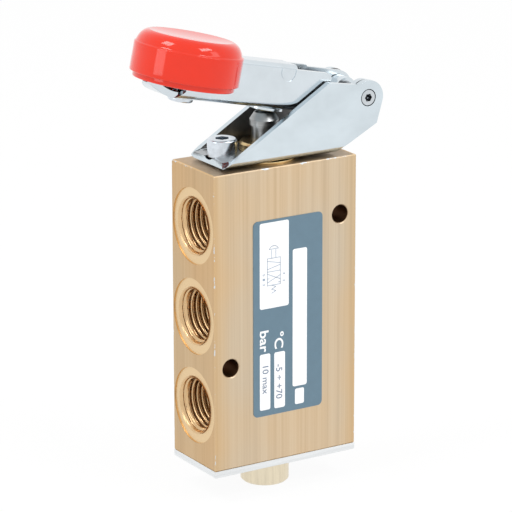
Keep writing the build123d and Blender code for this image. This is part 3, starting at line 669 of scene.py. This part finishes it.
def knob_piece():
    """The knob as one closed surface of rows (profile) by columns (angle)."""
    profile = knob_profile()
    radius, height = profile[:, :1], profile[:, 1:]
    hold = np.arcsin(slot_half / np.maximum(radius, cavity_radius))
    sliver = 0.004
    inner = np.linspace(-1.0, 1.0, 33)[None, :] * (hold - sliver)
    outer = hold + sliver + np.linspace(0.0, 1.0, 130)[None, :] * (2 * np.pi - 2 * hold - 2 * sliver)
    angle = np.hstack([inner, outer])
    in_slot = np.arange(angle.shape[1])[None, :] < inner.shape[1]
    height = np.where(in_slot, np.maximum(height, slot_top), height) * MM
    radius = radius * MM
    points = (
        knob_foot
        - (radius * np.cos(angle))[..., None] * along
        + (radius * np.sin(angle))[..., None] * across
        + height[..., None] * up
    )
    faces = grid_faces(*angle.shape, False, True)
    piece = mesh_object("knob_moulding", points, faces, knob_red, "lever", 38.0)
    shell = bmesh.new()
    shell.from_mesh(piece.data)
    bmesh.ops.remove_doubles(shell, verts=shell.verts, dist=0.0005 * MM)
    bmesh.ops.dissolve_degenerate(shell, edges=shell.edges, dist=0.0005 * MM)
    bmesh.ops.recalc_face_normals(shell, faces=shell.faces)
    shell.to_mesh(piece.data)
    shell.free()
    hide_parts("knob")
    return piece


knob = knob_piece()
print("knob faces:", len(knob.data.polygons))

# %% [markdown]
# ## Print on the name plate
# The plate carries white panels, plain words for the units and a line drawing of how the valve switches.
# Ink is a few hundredths of a millimetre thick, so each panel, stroke and word is a thin closed piece
# whose back sits in the plate. Words start as a text curve, become a mesh, and are then stretched to the
# place they fill: x = left + width times the letter's height, z = top - length times its run.

# %% Print the plate
plate_front = -9.62 * MM
ink = 0.03 * MM


def panel(name, left, right, bottom, top, corner, lift, material):
    """A flat rounded panel: corner centres + corner radius times (cos t, sin t), on two levels."""
    t = np.radians(np.linspace(0.0, 90.0, 7))
    turns = np.concatenate([t, t + np.pi / 2, t + np.pi, t + 1.5 * np.pi])
    centre_x = np.repeat([right - corner, left + corner, left + corner, right - corner], len(t))
    centre_z = np.repeat([top - corner, top - corner, bottom + corner, bottom + corner], len(t))
    x = (centre_x + corner * np.cos(turns)) * MM
    z = (centre_z + corner * np.sin(turns)) * MM
    count = len(x)
    back = np.stack([x, np.full(count, plate_front + ink), z], -1)
    front = np.stack([x, np.full(count, plate_front - lift * ink), z], -1)
    ring = np.arange(count)
    sides = np.stack([ring, ring + count, (ring + 1) % count + count, (ring + 1) % count], -1).tolist()
    mesh = bpy.data.meshes.new(name)
    lids = [ring.tolist(), (ring[::-1] + count).tolist()]
    mesh.from_pydata(np.vstack([back, front]).tolist(), [], sides + lids)
    return inked(name, mesh, material)


def inked(name, mesh, material):
    """Finishes one print mesh: merged, facing outwards, riding on the valve."""
    shell = bmesh.new()
    shell.from_mesh(mesh)
    bmesh.ops.remove_doubles(shell, verts=shell.verts, dist=0.0005 * MM)
    bmesh.ops.recalc_face_normals(shell, faces=shell.faces)
    shell.to_mesh(mesh)
    shell.free()
    mesh.materials.clear()
    mesh.materials.append(material)
    piece = bpy.data.objects.new(name, mesh)
    bpy.context.scene.collection.objects.link(piece)
    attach(piece, "valve")
    return piece


def strokes(name, lines, width, lift, material):
    """Straight strokes as thin boxes: each end point moved by half the width, square to the line."""
    lines = np.array(lines, float) * MM
    start_point, end_point = lines[:, :2], lines[:, 2:]
    run = end_point - start_point
    run /= np.linalg.norm(run, axis=1, keepdims=True)
    side = np.stack([-run[:, 1], run[:, 0]], -1) * width * MM / 2
    start_point = start_point - run * width * MM / 2
    end_point = end_point + run * width * MM / 2
    flat = np.stack([start_point - side, end_point - side, end_point + side, start_point + side], 1)
    levels = np.array([plate_front + ink, plate_front - lift * ink])
    points = np.empty((len(lines), 2, 4, 3))
    points[..., 0], points[..., 2] = flat[:, None, :, 0], flat[:, None, :, 1]
    points[..., 1] = levels[None, :, None]
    box = np.array([(0, 1, 2, 3), (7, 6, 5, 4), (0, 4, 5, 1), (1, 5, 6, 2), (2, 6, 7, 3), (3, 7, 4, 0)])
    faces = (box[None] + 8 * np.arange(len(lines))[:, None, None]).reshape(-1, 4)
    mesh = bpy.data.meshes.new(name)
    mesh.from_pydata(points.reshape(-1, 3).tolist(), [], faces.tolist())
    return inked(name, mesh, material)


def words(name, text, left, right, top, bottom, lift, weight, material):
    """A word that runs down the plate, with its letters' tops to the right, stretched to fill its place."""
    curve = bpy.data.curves.new(name, "FONT")
    curve.body = text
    curve.extrude = 0.5
    curve.offset = weight
    lettering = bpy.data.objects.new(name + "_curve", curve)
    bpy.context.scene.collection.objects.link(lettering)
    bpy.context.view_layer.update()
    mesh = bpy.data.meshes.new_from_object(lettering)
    bpy.data.objects.remove(lettering)
    flat = np.empty(len(mesh.vertices) * 3, np.float32)
    mesh.vertices.foreach_get("co", flat)
    letter = flat.reshape(-1, 3)
    share = (letter - letter.min(0)) / (letter.max(0) - letter.min(0))
    placed = np.stack([
        (left + (right - left) * share[:, 1]) * MM,
        plate_front + ink - (1 + lift) * ink * share[:, 2],
        (top + (bottom - top) * share[:, 0]) * MM,
    ], -1)
    mesh.vertices.foreach_set("co", placed.astype(np.float32).ravel())
    return inked(name, mesh, material)


for subject, *place_and_corner in (
    ("symbol", -7.25, 0.68, -3.44, 17.24, 0.5),
    ("code", 1.77, 5.71, -23.78, 9.83, 0.5),
    ("pressure", -7.26, -4.40, -28.16, -14.40, 0.45),
    ("temperature", -3.30, -0.34, -28.25, -14.48, 0.45),
    ("date", 2.44, 4.94, -28.27, -24.43, 0.4),
):
    panel(subject + "_panel", *place_and_corner, 1.0, print_white)
words("pressure_unit", "bar", -7.25, -4.86, -8.71, -13.91, 1.0, 0.018, print_white)
words("temperature_unit", "\u00b0C", -3.23, -0.68, -9.59, -13.62, 1.0, 0.018, print_white)
words("pressure_range", "10 max", -6.52, -4.91, -17.41, -24.18, 2.0, 0.0, print_slate)
words("temperature_range", "-5 \u00f7 +70", -2.80, -1.12, -17.49, -25.98, 2.0, 0.0, print_slate)

# %% Draw the switching symbol
thin = 0.13
left, right, low, middle, high = -5.18, -1.66, 2.1, 5.4, 8.6
button = np.radians(np.linspace(20.0, 160.0, 9))
button_x, button_z = -3.44 + 1.3 * np.cos(button), 10.4 + 1.15 * np.sin(button)
coil_x = np.array([-4.0, -2.9, -4.0, -2.9, -4.0])
coil_z = np.linspace(2.1, 0.14, 5)
strokes("symbol_lines", [
    (left, low, right, low), (left, high, right, high), (left, middle, right, middle),
    (left, low, left, high), (right, low, right, high),
    (-4.01, 10.55, -4.01, 8.6), (-2.88, 10.55, -2.88, 8.6),
    (left, 8.0, right, 7.2), (left, 6.0, right, 6.8), (left, 4.9, right, 3.3), (left, 2.8, right, 4.3),
    (left, 3.75, -4.7, 3.75), (right, 2.6, -2.2, 2.6),
    *zip(button_x[:-1], button_z[:-1], button_x[1:], button_z[1:]),
    (button_x[0], button_z[0], button_x[-1], button_z[-1]),
    *zip(coil_x[:-1], coil_z[:-1], coil_x[1:], coil_z[1:]),
], thin, 2.0, print_pale)
numeral_wide, numeral_high = 0.62, 0.5
for letter, numeral, at_x, at_z in (
    ("a", "4", -0.95, 4.75),
    ("b", "2", -0.95, 3.05),
    ("c", "5", -6.45, 5.1),
    ("d", "1", -6.45, 3.95),
    ("e", "3", -6.45, 2.8),
):
    ends = (at_x, at_x + numeral_wide, at_z, at_z - numeral_high)
    words("port_number_" + letter, numeral, *ends, 2.0, 0.0, print_pale)

# %% [markdown]
# ## Floor and light
# The valve stands on a plain pale floor under one white sky. Metal shows whatever surrounds it, so the
# sky is white for the camera and for reflections, and its light on the object stays at a plain level.
# Four soft boxes, two beside the valve and two above it, draw the highlights on the knob and the folds.

# %% Lay the floor
floor_level = cad_box[0].z
floor_mesh = bpy.data.meshes.new("floor")
floor_half = 3.0
corners = [(x * floor_half, y * floor_half, floor_level) for x, y in ((-1, -1), (1, -1), (1, 1), (-1, 1))]
floor_mesh.from_pydata(corners, [], [(0, 1, 2, 3)])
floor = bpy.data.objects.new("floor", floor_mesh)
bpy.context.scene.collection.objects.link(floor)
floor_paint, floor_tree, floor_shader, _ = start("pale_floor", (0.93, 0.93, 0.93), 0.0, 0.9)
floor_rays = add(floor_tree, "ShaderNodeLightPath").outputs
direct = math(floor_tree, "MAXIMUM", floor_rays["Is Camera Ray"], floor_rays["Is Glossy Ray"])
glow = add(floor_tree, "ShaderNodeEmission", Color=(1.0, 1.0, 1.0, 1.0), Strength=1.0)
glow_share = 0.92
share = math(floor_tree, "MULTIPLY", direct, glow_share)
paint_mix = add(floor_tree, "ShaderNodeMixShader", _0=share, _1=floor_shader.outputs[0], _2=glow.outputs[0])
floor_out = next(n for n in floor_tree.nodes if n.type == "OUTPUT_MATERIAL")
floor_tree.links.new(paint_mix.outputs[0], floor_out.inputs["Surface"])
floor_mesh.materials.append(floor_paint)

# %% Light the scene
world = bpy.data.worlds.new("white_sky")
bpy.context.scene.world = world
world.use_nodes = True
sky = world.node_tree
sky.nodes.clear()
rays = sky.nodes.new("ShaderNodeLightPath").outputs
seen = math(sky, "MAXIMUM", rays["Is Camera Ray"], rays["Is Glossy Ray"])
sky_light, sky_seen = 0.86, 0.14
strength = math(sky, "MULTIPLY_ADD", seen, sky_seen, sky_light)
background = add(sky, "ShaderNodeBackground", Color=(1.0, 1.0, 1.0, 1.0), Strength=strength)
add(sky, "ShaderNodeOutputWorld", Surface=background.outputs[0])


def soft_box(name, place, aim, size, power):
    """A rectangular area lamp at a place in metres, turned to face another."""
    lamp = bpy.data.lights.new(name, "AREA")
    lamp.shape = "RECTANGLE"
    lamp.size, lamp.size_y = size
    lamp.energy = power
    box = bpy.data.objects.new(name, lamp)
    bpy.context.scene.collection.objects.link(box)
    box.location = place
    facing = Vector(place) - Vector(aim)
    box.rotation_euler = facing.to_track_quat("Z", "Y").to_euler()
    return box


knob_middle = (-0.02, 0.0, 0.055)
soft_box("left_box", (-0.68, -0.02, 0.24), knob_middle, (0.26, 0.40), 0.65)
soft_box("right_box", (0.42, -0.56, 0.30), knob_middle, (0.20, 0.42), 0.45)
soft_box("high_left_box", (-0.40, 0.02, 0.66), knob_middle, (0.24, 0.24), 1.30)
soft_box("high_right_box", (0.24, -0.46, 0.62), knob_middle, (0.34, 0.16), 1.30)
